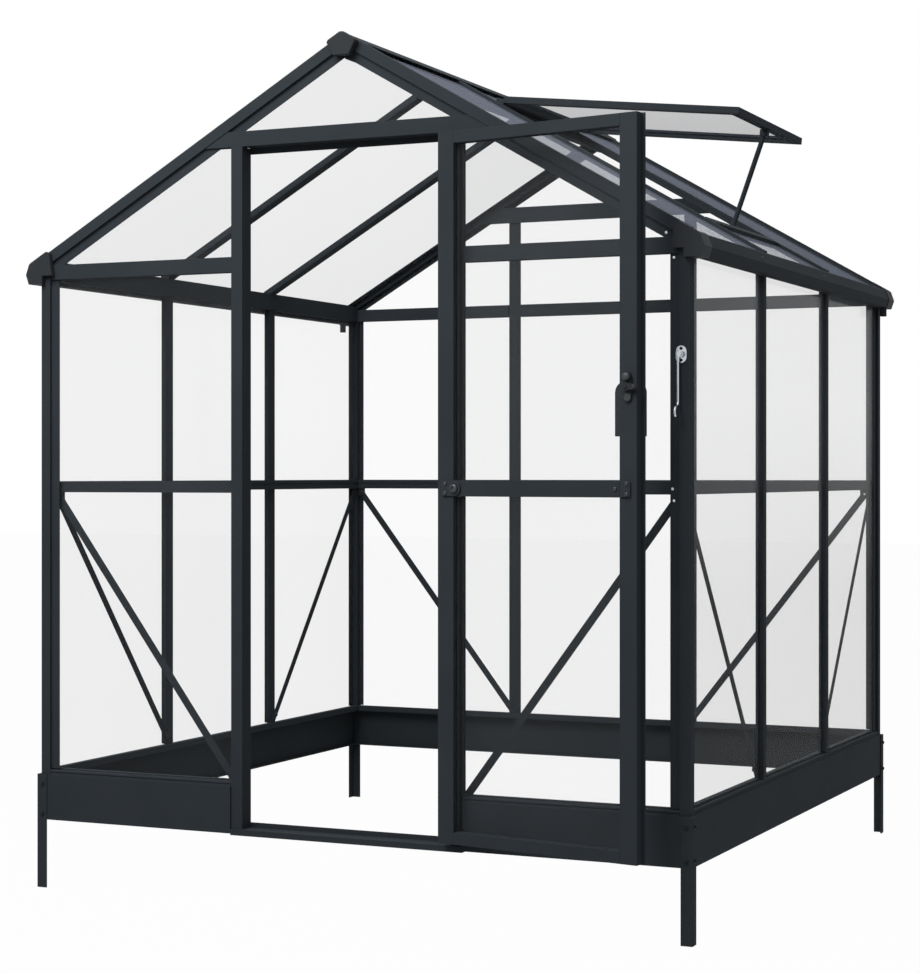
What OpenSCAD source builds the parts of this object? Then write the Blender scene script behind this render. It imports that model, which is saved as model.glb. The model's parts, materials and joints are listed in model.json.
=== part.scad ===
// Glass greenhouse with a hinged door and an open roof vent.
// Sizes in millimetres, +Z up, the front faces -Y.

/* [Frame] */
// Outside width across the corner posts
frame_w = 1850; // [1600:10:2600]
// Outside depth, front to back
frame_d = 1850; // [1600:10:3200]
// Height of the eave line at the outer face of the side walls
eave_h = 1708; // [1500:1:2100]
// Pitch of the roof
roof_pitch = 30.1; // [26:0.1:34]
// Side of the square box in the posts and gable rafters
post_s = 28; // [24:1:36]
// Reach of a glazing flange from the outer corner of its profile
flange_reach = 53; // [46:1:70]
// Reach of the glazing flanges in the back gable
back_reach = 43; // [40:1:70]
// Set-back of the glazing flanges behind the face of the frame
flange_set = 7.5; // [6:0.5:9]
// Thickness of the flanges
flange_t = 3; // [2:0.5:4]
// Thickness of the glass
glass_t = 4; // [3:1:6]
// Width of the mullions and inner rafters
mullion_w = 40; // [30:1:50]
// Depth of the mullions and inner rafters
mullion_t = 20; // [18:1:26]

/* [Base] */
// Height of the underside of the base above the ground
base_lift = 184; // [120:1:260]
// Height of the base panels
base_h = 123; // [90:1:180]
// Thickness of the folded base sheet
sheet_t = 3; // [2:0.5:4]
// Flange width of the leg angles
leg_w = 30; // [24:1:45]
// Height of the sill on top of the base
sill_h = 15; // [12:1:24]
// Height of the door threshold
threshold_h = 12; // [8:1:18]

/* [Rails] */
// Height of the underside of the mid rails
mid_z = 1071; // [900:1:1200]
// Height of a mid rail
mid_h = 30; // [24:1:40]
// Height of an eave rail
eave_rail_h = 40; // [30:1:50]
// Drop of the eave rail underside below the eave line
eave_rail_drop = 61.5; // [56:0.5:70]
// Height of the header bars
header_h = 40; // [30:1:50]
// Height of the underside of the headers above the eave line
header_up = 264; // [180:1:330]
// Width of the diagonal braces
brace_w = 20; // [12:1:24]

/* [Door] */
// Clear width between the door posts
door_gap_w = 596; // [520:1:700]
// Width of the door posts
door_post_w = 33.5; // [28:0.5:44]
// Depth of the door posts
door_post_t = 46; // [40:1:60]
// Thickness of the door leaf
door_t = 28; // [24:1:34]
// Width of the door stiles
stile_w = 47; // [36:1:60]
// Angle of the open door from its closed place
door_open = 169.6; // [90:0.1:172]

/* [Roof vent] */
// Length of the vent leaf down the slope
vent_len = 685; // [500:1:760]
// Distance of the vent hinge from the ridge, down the slope
vent_down = 190; // [150:1:300]
// Angle of the open vent from the roof
vent_open = 23.7; // [10:0.1:40]
// Thickness of the vent leaf
vent_t = 19; // [12:1:22]

/* [Hidden] */
$fn = 48;
metal = [0.17, 0.19, 0.20];
dark = [0.06, 0.06, 0.07];
bright = [0.75, 0.76, 0.78];
clear = [0.80, 0.88, 0.90, 0.3];

half_w = frame_w / 2;
half_d = frame_d / 2;
cp = cos(roof_pitch);
sp = sin(roof_pitch);
tp = tan(roof_pitch);
ridge_z = eave_h + half_w * tp;
slope_len = half_w / cp;
glass_d0 = flange_set + flange_t;
glass_d1 = glass_d0 + glass_t;
fit = 0.2;
bite = 7;
mul_d0 = 2;
mul_d1 = mul_d0 + mullion_t;
rail_t = 12;
brace_d = mul_d1 + rail_t;
base_top = base_lift + base_h;
sill_top = base_top + sill_h;
rail_z0 = eave_h - eave_rail_drop;
rail_z1 = rail_z0 + eave_rail_h;
door_in = door_gap_w / 2;
door_out = door_in + door_post_w;
door_z0 = base_lift + threshold_h + 10;
header_z0 = eave_h + header_up;
door_z1 = header_z0 - 5;
header_z1 = header_z0 + header_h;
stop_d = 40;
gutter_z = rail_z0 - 9.5;
gutter_e = 38.5;

door_ax = door_in - 12;
door_ay = -half_d - 1.6;
door_k = 6;
door_w = 2 * door_in - 26;
swing = 180 - door_open;
lip_w = 8;
latch_u = door_w - stile_w / 2;
latch_z = door_z0 + 1118;
lever_len = 30;
lever_out = 15;
y_front = door_ay - (latch_u + lever_len) * sin(swing) - (door_k + door_t + lever_out) * cos(swing);
y_back = half_d + 20;
y_mid = -(y_front + y_back) / 2;

pane_p = post_s + 3;
roof_top = slope_len - 14 / cp - glass_d0 * tp;
vent_s = slope_len - vent_down;
vent_low = vent_s - vent_len;
vent_y = half_d / 3 - mullion_w / 2;
hinge_up = 9;
vent_hw = vent_y + 14;
vent_top_w = 42;
vent_rail = 26;
stay_s = vent_low + 18;
stay_in = vent_len - 19;
stay_x = vent_s - stay_in * cos(vent_open) - (vent_t / 2 + 10) * sin(vent_open);
stay_h = hinge_up + stay_in * sin(vent_open) - (vent_t / 2 + 10) * cos(vent_open);
hinge_zs = [door_z0 + 120, door_z0 + 800, door_z1 - 120];
pin_r = 3;
leaf_y0 = -(door_k + door_t);
leaf_y1 = -door_k;
leaf_m = (leaf_y0 + leaf_y1) / 2;
door_rail_h = 30;
door_mid_h = 40;
door_mid_z = mid_z - 6;
hook_x = half_w - 22;
hook_z = mid_z + 334;

cap_reach = 45;
spout_r = 10;
spout_len = 27;
ridge_wing = 45;
ridge_half = [[ridge_wing, ridge_z - ridge_wing * tp], [ridge_wing, ridge_z - ridge_wing * tp - 2 / cp],
  [12, ridge_z - 12 * tp - 2 / cp], [12, ridge_z - 62]];
ridge_cap_half = [[5, ridge_z], [38, ridge_z - 19], [42, ridge_z - 25], [34, ridge_z - 40],
  [24, ridge_z - 60]];
post_rib = 20;
post_face = 20;
pane_in = mullion_w / 2 - bite + 0.5;

function roof_z(d, p) = eave_h + d * tp - p / cp;

module site() translate([0, y_mid, 0]) children();
module box(x0, x1, y0, y1, z0, z1) translate([x0, y0, z0]) cube([x1 - x0, y1 - y0, z1 - z0]);
module wall(k) rotate([0, 0, 90 * k]) translate([0, k % 2 == 0 ? -half_d : -half_w, 0]) children();
module along_x(len) rotate([90, 0, 90]) translate([0, 0, -len / 2]) linear_extrude(height = len) children();
module gable(y0, y1) translate([0, y1, 0]) rotate([90, 0, 0]) linear_extrude(height = y1 - y0) children();
module right_slope()
  translate([half_w, 0, eave_h]) rotate([0, roof_pitch, 0]) rotate([0, 0, 180]) children();
module left_slope() mirror([1, 0, 0]) right_slope() children();
module above_roof(p) {
  right_slope() box(-300, slope_len + 600, -half_d - 300, half_d + 300, -p, 900);
  left_slope() box(-300, slope_len + 600, -half_d - 300, half_d + 300, -p, 900);
}
module corners() {
  for (sx = [0, 1]) for (sy = [0, 1])
    mirror([sx, 0, 0]) mirror([0, sy, 0]) translate([-half_w, -half_d, 0]) children();
}

// Ground stakes, equal angles bolted outside the base corners.
module leg_angles() color(metal) site() corners()
  translate([-8, -8, 0]) linear_extrude(height = base_top)
    polygon([[0, 0], [leg_w, 0], [leg_w, 3], [3, 3], [3, leg_w], [0, leg_w]]);

// Section of a base panel with its sill, depth from the wall face inwards against height.
module base_section() {
  polygon([[-5, base_lift], [13, base_lift], [13, base_lift + sheet_t], [-5 + sheet_t, base_lift + sheet_t],
    [-5 + sheet_t, base_top - sheet_t], [brace_d, base_top - sheet_t], [brace_d, base_top],
    [-5, base_top]]);
}
module sill_section() {
  difference() {
    polygon([[0, base_top - 1], [post_s, base_top - 1], [post_s, sill_top], [glass_d1 + 3, sill_top],
      [glass_d1 + 3, sill_top - 3], [2, sill_top - 3], [0, sill_top - 6], [0, base_top + 6],
      [1.5, base_top + 5], [1.5, base_top + 3], [0, base_top + 2]]);
    translate([glass_d0 - fit, sill_top - bite - 1]) square([glass_t + 2 * fit, bite + 2]);
  }
}
module sill_back_section() translate([post_s - 1, base_top - 1]) square([brace_d - post_s + 1, sill_h + 1]);
module base_sides() color(metal) site() for (k = [1, 3]) wall(k) {
  intersection() {
    along_x(frame_d + 10) base_section();
    union() {
      box(-half_d - 6, half_d + 6, -6, -5 + sheet_t, 0, base_top + 1);
      box(-half_d - 5 + sheet_t, half_d + 5 - sheet_t, -6, 100, 0, base_top + 1);
    }
  }
  along_x(frame_d - 2 * post_s) sill_section();
  along_x(frame_d - 2 * brace_d - 4) sill_back_section();
}
module base_run(x0, x1) {
  intersection() {
    along_x(frame_w + 10 - 2 * sheet_t) base_section();
    union() {
      box(x0, x1, -6, -5 + sheet_t, 0, base_top + 1);
      box(max(x0, -half_w + brace_d), min(x1, half_w - brace_d), -6, 100, base_lift + 10, base_top + 1);
      box(max(x0, -half_w + 13), min(x1, half_w - 13), -6, 100, 0, base_lift + 10);
    }
  }
  intersection() {
    union() {
      along_x(frame_w - 2 * post_s) sill_section();
      along_x(frame_w - 2 * brace_d - 4) sill_back_section();
    }
    union() {
      box(x0, x1, -6, 100, base_top, sill_top + 1);
      box(max(x0, -half_w + brace_d), min(x1, half_w - brace_d), -6, 100, 0, sill_top + 1);
    }
  }
}
module base_back() color(metal) site() wall(2) base_run(-half_w - 5, half_w + 5);
module base_front() color(metal) site() wall(0) {
  for (s = [0, 1]) mirror([s, 0, 0]) {
    base_run(door_out, half_w + 5);
    box(door_out, door_out + sheet_t, -5, post_face, base_lift, base_top);
  }
}

// Doorway strip under the door posts, with a stop between them behind the door.
module threshold() color(metal) site() wall(0) {
  box(-door_out, door_out, -5, door_post_t, base_lift - 4, base_lift + threshold_h);
  box(-door_in, door_in, stop_d, door_post_t, base_lift + threshold_h - 1, base_lift + threshold_h + 13);
}

// Corner profile: a square box with a set-back glazing flange along each wall.
module corner_profile(r1, r2) union() {
  square([post_s, post_s]);
  translate([post_s - 1, flange_set]) square([r1 - post_s + 1, flange_t]);
  translate([flange_set, post_s - 1]) square([flange_t, r2 - post_s + 1]);
}
module corner_post_raw(r) translate([-half_w, -half_d, 0]) {
  translate([0, 0, base_top]) cube([post_s, post_s, eave_h - base_top]);
  translate([0, 0, sill_top]) linear_extrude(height = rail_z0 - sill_top) corner_profile(r, flange_reach);
}
module corner_post_solid() difference() {
  for (sx = [0, 1]) mirror([sx, 0, 0]) {
    corner_post_raw(flange_reach);
    mirror([0, 1, 0]) corner_post_raw(back_reach);
  }
  above_roof(post_s);
}
module corner_posts() color(metal) site() corner_post_solid();

// Door post: a deep rib at the doorway and a shallow face with the groove of the side pane.
module door_posts() color(metal) site() wall(0) for (s = [0, 1]) mirror([s, 0, 0]) difference() {
  union() {
    box(door_in, door_in + post_rib, 0, door_post_t, base_lift + threshold_h, header_z0);
    box(door_in, door_out, 0, post_face, base_lift + threshold_h, header_z0);
  }
  box(door_out - bite, door_out + 1, glass_d0 - fit, glass_d1 + fit, sill_top - bite - 1, header_z0 + 1);
}

// Glazing bar: a flange behind the edges of two panes and a stem between them, centred on x.
module bar_section() {
  translate([-mullion_w / 2, glass_d1 + fit]) square([mullion_w, mul_d1 - glass_d1 - fit]);
  translate([-mullion_w / 2 + bite, mul_d0]) square([mullion_w - 2 * bite, mullion_t]);
}
module mullions() color(metal) site() {
  for (k = [1, 3]) wall(k) for (s = [-1, 1]) translate([s * half_d / 3, 0, sill_top])
    linear_extrude(height = rail_z0 - sill_top) bar_section();
  wall(2) for (s = [-1, 1]) translate([s * half_w / 3, 0, sill_top])
    linear_extrude(height = header_z0 - sill_top) bar_section();
}

module mid_bar(x0, x1) difference() {
  box(x0, x1, mul_d1, mul_d1 + rail_t, mid_z, mid_z + mid_h);
  box(x0 - 1, x1 + 1, mul_d1 + rail_t - 2, mul_d1 + rail_t + 1, mid_z + 11, mid_z + mid_h - 11);
}
// Plate below the end of a mid rail that the upper end of a brace is bolted to.
module mid_gusset(x0, x1) box(x0, x1, mul_d1 + 3, mul_d1 + 6, mid_z - 24, mid_z + 1);
module mid_rails() color(metal) site() {
  for (s = [0, 1]) {
    wall(0) mirror([s, 0, 0]) mid_bar(door_in + post_rib, half_w - post_s);
    for (k = [0, 2]) wall(k) mirror([s, 0, 0]) mid_gusset(half_w - 57, half_w - post_s - 1);
    for (k = [1, 3]) wall(k) mirror([s, 0, 0]) mid_gusset(half_d - 57, half_d - brace_d - 0.4);
  }
  wall(2) mid_bar(-half_w + post_s, half_w - post_s);
  for (k = [1, 3]) wall(k) mid_bar(-half_d + brace_d + 0.4, half_d - brace_d - 0.4);
}

module eave_bar(x0, x1) difference() {
  box(x0, x1, 2, post_s, rail_z0, rail_z1);
  box(x0 - 1, x1 + 1, glass_d0 - fit, glass_d1 + fit, rail_z0 - 1, rail_z0 + bite + 1);
  box(x0 - 1, x1 + 1, glass_d0 - fit, glass_d1 + fit, rail_z1 - bite - 1, rail_z1 + 1);
}
module eave_rail_solid() {
  wall(0) eave_bar(-half_w + post_s, -door_out);
  wall(0) eave_bar(door_out, half_w - post_s);
  wall(2) for (s = [0, 1]) mirror([s, 0, 0]) eave_bar(half_w / 3 + mullion_w / 2, half_w - post_s);
  wall(2) eave_bar(-half_w / 3 + mullion_w / 2, half_w / 3 - mullion_w / 2);
}
module eave_rails() color(metal) site() eave_rail_solid();

module header_bar() along_x(frame_w) difference() {
  translate([2, header_z0]) square([post_s - 2, header_h]);
  translate([glass_d0 - fit, header_z1 - bite - 1]) square([glass_t + 2 * fit, bite + 2]);
  translate([glass_d0 - fit, header_z0 - 1]) square([glass_t + 2 * fit, bite + 2]);
}
module header_solid() difference() {
  union() {
    wall(0) header_bar();
    wall(0) box(-door_in, door_in, post_s - 1, stop_d + 6, header_z0, header_z0 + 16);
    wall(0) box(-door_in, door_in, stop_d, stop_d + 6, header_z0 - 16, header_z0 + 1);
    wall(2) header_bar();
    wall(2) box(-half_w, half_w, mul_d1 + fit, post_s, header_z0 - 12, header_z0 + 10);
  }
  above_roof(post_s);
}
module headers() color(metal) site() header_solid();

module eave_beam_section() difference() {
  polygon([[0, rail_z0], [post_s, rail_z0], [post_s, roof_z(post_s, mul_d1)], [0, roof_z(0, mul_d1)]]);
  translate([glass_d0 - fit, rail_z0 - 1]) square([glass_t + 2 * fit, bite + 2]);
}
module eave_beams() color(metal) site() for (k = [1, 3])
  wall(k) along_x(frame_d - 2 * post_s) eave_beam_section();

// Open channel outside the eave with a bulged front and a lip below the roof plane, in two lengths.
module gutter_outline() polygon([[0, gutter_z], [-gutter_e + 8, gutter_z], [-gutter_e, gutter_z + 24],
  [-gutter_e + 12, gutter_z + 53], [-20, gutter_z + 57], [0, gutter_z + 57]]);
module gutter_section() difference() {
  gutter_outline();
  polygon([[-2.5, gutter_z + 2.5], [-gutter_e + 9.6, gutter_z + 2.5], [-gutter_e + 2.8, gutter_z + 24],
    [-gutter_e + 13.4, gutter_z + 50.5], [-20, gutter_z + 54], [-20, eave_h], [-2.5, eave_h]]);
  translate([-3, gutter_z + 36]) square([4, eave_h]);
}
module gutters() color(metal) site() difference() {
  for (k = [0, 1]) mirror([k, 0, 0]) wall(1) for (h = [-1, 1])
    translate([h * (half_d + fit) / 2, 0, 0]) along_x(half_d - fit) gutter_section();
  at_spouts() translate([0, 0, -1]) cylinder(h = 5, r = spout_r - 3);
}
// End cap: a plate over the eave joint with a sleeve round the end of the gutter.
module gutter_cap_face() polygon([[half_w - 43, rail_z0 + 11], [half_w - 12, rail_z0 + 11],
  [half_w - 12, gutter_z - 2], [half_w + gutter_e - 7, gutter_z - 2],
  [half_w + gutter_e + 2, gutter_z + 24], [half_w + gutter_e - 8, gutter_z + 52],
  [half_w + gutter_e - 14, eave_h - (gutter_e - 14) * tp],
  [half_w - 24, eave_h + 24 * tp], [half_w - 34, eave_h + 16 * tp]]);
module gutter_cap_sleeve() difference() {
  polygon([[-1, gutter_z - 2], [-gutter_e + 7, gutter_z - 2], [-gutter_e - 2, gutter_z + 24],
    [-gutter_e + 10.2, gutter_z + 54.7], [-20, gutter_z + 59], [-20, gutter_z + 20], [-1, gutter_z + 20]]);
  gutter_outline();
}
module gutter_cap() {
  gable(-half_d - 15, -half_d) gutter_cap_face();
  wall(1) translate([-half_d - 1 + (cap_reach + 1) / 2, 0, 0]) along_x(cap_reach + 1) gutter_cap_sleeve();
}
module gutter_caps() color(metal) site() difference() {
  for (sx = [0, 1]) for (sy = [0, 1]) mirror([sx, 0, 0]) mirror([0, sy, 0]) gutter_cap();
  at_spouts() translate([0, 0, -5]) cylinder(h = 10, r = spout_r - 1);
}
module at_spouts() for (k = [0, 1]) mirror([k, 0, 0])
  translate([half_w + 20, half_d - 42, gutter_z]) children();
module spouts() color(dark) site() at_spouts() translate([0, 0, -spout_len]) difference() {
  union() {
    cylinder(h = spout_len - 3, r = spout_r);
    cylinder(h = spout_len, r = spout_r - 1);
  }
  translate([0, 0, -1]) cylinder(h = spout_len + 2, r = spout_r - 3);
}

module gable_rafter_raw(r) intersection() {
  right_slope() rotate([90, 0, 90]) translate([0, 0, -60]) linear_extrude(height = slope_len + 160)
    translate([half_d, 0]) rotate(180) corner_profile(flange_reach, r);
  translate([0.15, -half_d - 10, 0]) cube([half_w - 0.15, frame_d + 20, ridge_z + 100]);
}
module gable_rafters() color(metal) site() difference() {
  for (sx = [0, 1]) mirror([sx, 0, 0]) {
    gable_rafter_raw(flange_reach);
    mirror([0, 1, 0]) gable_rafter_raw(back_reach);
  }
  corner_post_solid();
  eave_rail_solid();
  header_solid();
  ridge_block();
}
module inner_rafter(s) intersection() {
  right_slope() translate([0, s * half_d / 3, 0]) rotate([90, 0, 90]) translate([0, 0, -60])
    linear_extrude(height = slope_len + 120) mirror([0, 1]) bar_section();
  translate([12, -half_d, 0]) cube([half_w - 12, frame_d, ridge_z + 100]);
}
module inner_rafters() color(metal) site() for (sx = [0, 1]) for (s = [-1, 1])
  mirror([sx, 0, 0]) inner_rafter(s);
module ridge_block() box(-12, 12, -half_d + post_s, half_d - post_s, ridge_z - 62, ridge_z - 12 * tp - 2);
// Points of half a section, followed by their mirror images in turn.
function both_halves(h) = concat(h, [for (i = [len(h) - 1 : -1 : 0]) [-h[i][0], h[i][1]]]);
module ridge_beam() color(metal) site() gable(-half_d + post_s, half_d - post_s)
  polygon(concat([[0, ridge_z]], both_halves(ridge_half)));
module ridge_caps() color(metal) site() for (s = [0, 1]) mirror([0, s, 0])
  gable(-half_d - 20, -half_d) polygon(both_halves(ridge_cap_half));

// Flat brace between two points of a wall, cut off on the sill and lying behind the glazing bars.
module brace(x0, z0, x1, z1) {
  len = norm([x1 - x0, z1 - z0]);
  intersection() {
    translate([x0, mul_d1, z0]) rotate([0, -atan2(z1 - z0, x1 - x0), 0]) {
      box(0, len, 0, 3, -brace_w / 2, brace_w / 2);
      rotate([-90, 0, 0]) cylinder(h = 3, r = brace_w / 2);
    }
    box(-half_w - half_d, half_w + half_d, 0, 100, sill_top, eave_h);
  }
}
module braces() color(metal) site() for (s = [0, 1]) {
  z1 = mid_z - brace_w / 2 - 0.5;
  wall(0) mirror([s, 0, 0]) brace(half_w - 40, z1, door_out - 8, sill_top - 17);
  wall(2) mirror([s, 0, 0]) brace(half_w - 40, z1, half_w / 3 - 12, sill_top - 17);
  for (k = [1, 3]) wall(k) mirror([s, 0, 0]) brace(half_d - 40, z1, half_d / 3 - 12, sill_top - 17);
}

module pane(x0, x1, z0, z1) box(x0, x1, glass_d0, glass_d1, z0, z1);
module gable_pane(pts) gable(glass_d0, glass_d1) polygon(pts);
function top_x(z) = half_w - (z + pane_p / cp - eave_h) / tp;
function top_z(x) = roof_z(half_w - x, pane_p);
module side_panes() {
  m = half_d / 3;
  pane(-half_d + post_s + 2, -m - pane_in, sill_top - bite, rail_z0 + bite);
  pane(-m + pane_in, m - pane_in, sill_top - bite, rail_z0 + bite);
  pane(m + pane_in, half_d - post_s - 2, sill_top - bite, rail_z0 + bite);
}
module apex_pane() {
  z0 = header_z1 - bite;
  gable_pane([[-top_x(z0), z0], [top_x(z0), z0], [0.5, top_z(0.5)], [-0.5, top_z(0.5)]]);
}
module shoulder_pane(x_in) {
  x_far = half_w - post_s - 3;
  gable_pane([[x_in, rail_z1 - bite], [x_far, rail_z1 - bite], [x_far, top_z(x_far)],
    [top_x(header_z0 + bite), header_z0 + bite], [x_in, header_z0 + bite]]);
}
module front_glass() color(clear) site() wall(0) {
  for (s = [0, 1]) mirror([s, 0, 0]) {
    pane(door_out - bite + 0.5, half_w - post_s - 2, sill_top - bite, rail_z0 + bite);
    shoulder_pane(door_out - bite + 0.5);
  }
  apex_pane();
}
module back_glass() color(clear) site() wall(2) {
  m = half_w / 3;
  for (s = [0, 1]) mirror([s, 0, 0]) {
    pane(m + pane_in, half_w - post_s - 2, sill_top - bite, rail_z0 + bite);
    shoulder_pane(m + pane_in);
  }
  pane(-m + pane_in, m - pane_in, sill_top - bite, rail_z0 + bite);
  pane(-m + pane_in, m - pane_in, rail_z1 - bite, header_z0 + bite);
  apex_pane();
}
module left_glass() color(clear) site() wall(3) side_panes();
module right_glass() color(clear) site() wall(1) side_panes();

module roof_pane(s0, s1, y0, y1) box(s0, s1, y0, y1, -glass_d1, -glass_d0);
module outer_roof_panes() {
  m = half_d / 3;
  for (s = [0, 1]) mirror([0, s, 0]) roof_pane(-8, roof_top, m + pane_in, half_d - post_s - 2);
}
module left_roof_glass() color(clear) site() left_slope() {
  outer_roof_panes();
  roof_pane(-8, roof_top, -half_d / 3 + pane_in, half_d / 3 - pane_in);
}
module right_roof_glass() color(clear) site() right_slope() {
  outer_roof_panes();
  roof_pane(-8, vent_low - 20, -vent_y - bite + 0.5, vent_y + bite - 0.5);
  roof_pane(vent_s + 14, roof_top, -vent_y - bite + 0.5, vent_y + bite - 0.5);
}

module vent_bars() color(metal) site() right_slope() {
  difference() {
    union() {
      box(vent_s - 10, vent_s + 22, -vent_y, vent_y, -mul_d1, hinge_up - 2);
      translate([vent_s, vent_y, hinge_up]) rotate([90, 0, 0]) cylinder(h = 2 * vent_y, r = 6);
    }
    box(vent_s + 13, vent_s + 23, -vent_y - 1, vent_y + 1, -glass_d1 - fit, -glass_d0 + fit);
    box(vent_s - 11, vent_s - 2, -vent_y - 1, vent_y + 1, -8, hinge_up + 1);
  }
  difference() {
    box(vent_low - 28, vent_low + 4, -vent_y, vent_y, -mul_d1, -1);
    box(vent_low - 29, vent_low - 19, -vent_y - 1, vent_y + 1, -glass_d1 - fit, -glass_d0 + fit);
  }
}
module vent_leaf() right_slope() translate([vent_s, 0, hinge_up]) rotate([0, vent_open, 0]) children();
module vent_window(out, t) box(-vent_len + vent_rail - out, -vent_top_w + out,
  -vent_hw + vent_rail - out, vent_hw - vent_rail + out, -t, t);
module vent_frame() color(metal) site() vent_leaf() difference() {
  box(-vent_len, -6.2, -vent_hw, vent_hw, -vent_t / 2, vent_t / 2);
  vent_window(0, vent_t);
  vent_window(8, 2.2);
}
module vent_glass() color(clear) site() vent_leaf() vent_window(7.5, 2);
module vent_stay() color(metal) site() {
  right_slope() {
    box(vent_low + 4, vent_low + 28, -9, 9, -19, -1);
    translate([stay_s, 0, -10]) rotate([0, atan2(stay_x - stay_s, stay_h + 10), 0])
      cylinder(h = norm([stay_x - stay_s, stay_h + 10]), r = 7);
  }
  vent_leaf() box(-stay_in - 11, -stay_in + 11, -10, 10, -vent_t / 2 - 18, -vent_t / 2);
}

module hinge_pins() color(dark) site() for (z = hinge_zs) translate([door_ax, door_ay, z]) {
  translate([0, 0, -45]) cylinder(h = 90, r = pin_r);
  for (a = [-45, 16]) translate([0, 0, a]) {
    cylinder(h = 29, r = 5.5);
    box(0, door_in - door_ax, -5, 5, 0, 29);
  }
}

module door_leaf() translate([door_ax, door_ay, 0]) rotate([0, 0, -swing]) children();
module door_groove(u0, u1, z0, z1) box(u0, u1, leaf_m - 2.2, leaf_m + 2.2, z0, z1);
module door_stiles() color(metal) site() door_leaf() {
  difference() {
    box(0, stile_w, leaf_y0, leaf_y1, door_z0, door_z1);
    door_groove(stile_w - bite - 1, stile_w + 1, door_z0 - 1, door_z1 + 1);
  }
  difference() {
    union() {
      box(door_w - stile_w, door_w, leaf_y0, leaf_y1, door_z0, door_z1);
      box(door_w - 1, door_w + lip_w, leaf_y1 - 3, leaf_y1, door_z0, door_z1);
    }
    door_groove(door_w - stile_w - 1, door_w - stile_w + bite + 1, door_z0 - 1, door_z1 + 1);
  }
}
module door_rail(z0, h, groove_below, groove_above) difference() {
  box(stile_w, door_w - stile_w, leaf_y0, leaf_y1, z0, z0 + h);
  if (groove_below) door_groove(stile_w - 1, door_w - stile_w + 1, z0 - 1, z0 + bite + 1);
  if (groove_above) door_groove(stile_w - 1, door_w - stile_w + 1, z0 + h - bite - 1, z0 + h + 1);
}
module door_rails() color(metal) site() door_leaf() {
  door_rail(door_z0, door_rail_h, false, true);
  door_rail(door_mid_z, door_mid_h, true, true);
  door_rail(door_z1 - door_rail_h, door_rail_h, true, false);
}
module door_pane(z0, z1)
  box(stile_w - bite, door_w - stile_w + bite, leaf_m - 2, leaf_m + 2, z0 - bite, z1 + bite);
module door_glass() color(clear) site() door_leaf() {
  door_pane(door_z0 + door_rail_h, door_mid_z);
  door_pane(door_mid_z + door_mid_h, door_z1 - door_rail_h);
}
module door_knuckles() color(dark) site() door_leaf() for (z = hinge_zs) translate([0, 0, z]) difference() {
  union() {
    translate([0, 0, -15.5]) cylinder(h = 31, r = 5.5);
    box(0, 38, -door_k, -door_k + 2.5, -15.5, 15.5);
  }
  translate([0, 0, -20]) cylinder(h = 40, r = pin_r + 0.06);
}
module door_pull() color(dark) site() door_leaf() {
  translate([door_w - 39, -door_k, latch_z - 115]) rotate([-90, 0, 0]) {
    for (x = [-10, 10]) translate([x, -102.5, 0]) cylinder(h = 22, r = 27);
    translate([-10, -129.5, 0]) cube([20, 54, 22]);
    translate([-37, -102.5, 0]) cube([74, 102.5, 22]);
  }
}
module at_latch(out) door_leaf() translate([latch_u, leaf_y0 - out, latch_z]) rotate([90, 0, 0]) children();
module latch_plate() color(dark) site() at_latch(0) {
  translate([0, -24, 0]) cylinder(h = 5, r = 11);
  translate([-11, -24, 0]) cube([22, 48, 5]);
  translate([0, 24, 0]) cylinder(h = 9, r = 11);
  cylinder(h = 18, r = 4);
}
module latch_lever() color(dark) site() at_latch(6) difference() {
  union() {
    cylinder(h = lever_out - 6, r = 10);
    translate([0, -7, 0]) cube([lever_len - 7, 14, lever_out - 6]);
    translate([lever_len - 7, 0, 0]) cylinder(h = lever_out - 6, r = 7);
  }
  translate([0, 0, -1]) cylinder(h = 11, r = 4.06);
}

module at_hook(out) translate([hook_x, -half_d - out, hook_z]) rotate([90, 0, 0]) children();
module hook_plate() color(bright) site() at_hook(0) {
  for (y = [-7, 7]) translate([0, y, 0]) cylinder(h = 3, r = 13.5);
  translate([-13.5, -7, 0]) cube([27, 14, 3]);
  cylinder(h = 18, r = 3);
  translate([0, 0, 15]) cylinder(h = 3, r = 5);
}
// Part of a wire bend in the plane square to the wall, at depth y along the shank and height z off the wall.
module hook_bend(y, z, a, sweep) translate([-5, y, z]) rotate([0, 90, 0]) rotate([0, 0, a])
  rotate_extrude(angle = sweep) translate([12, 0]) circle(r = 2.5);
module door_hook() color(bright) site() at_hook(6) difference() {
  union() {
    cylinder(h = 8, r = 7.5);
    translate([-5, -3, 5]) rotate([90, 0, 0]) cylinder(h = 110, r = 2.5);
    hook_bend(-113, 17, 0, -90);
    hook_bend(-137, 17, 90, 180);
    translate([-5, -149, 8]) cylinder(h = 9, r = 2.5);
  }
  translate([0, 0, -1]) cylinder(h = 10, r = 3.06);
}

leg_angles();
base_sides();
base_back();
base_front();
threshold();
corner_posts();
door_posts();
mullions();
mid_rails();
eave_rails();
headers();
eave_beams();
gutters();
gutter_caps();
spouts();
gable_rafters();
inner_rafters();
ridge_beam();
ridge_caps();
braces();
front_glass();
left_glass();
right_glass();
back_glass();
left_roof_glass();
right_roof_glass();
vent_bars();
vent_frame();
vent_glass();
vent_stay();
hinge_pins();
hook_plate();
door_stiles();
door_rails();
door_glass();
door_knuckles();
door_pull();
latch_plate();
latch_lever();
door_hook();
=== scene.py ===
"""Finishes, fixings and studio for a small glass greenhouse."""

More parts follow.
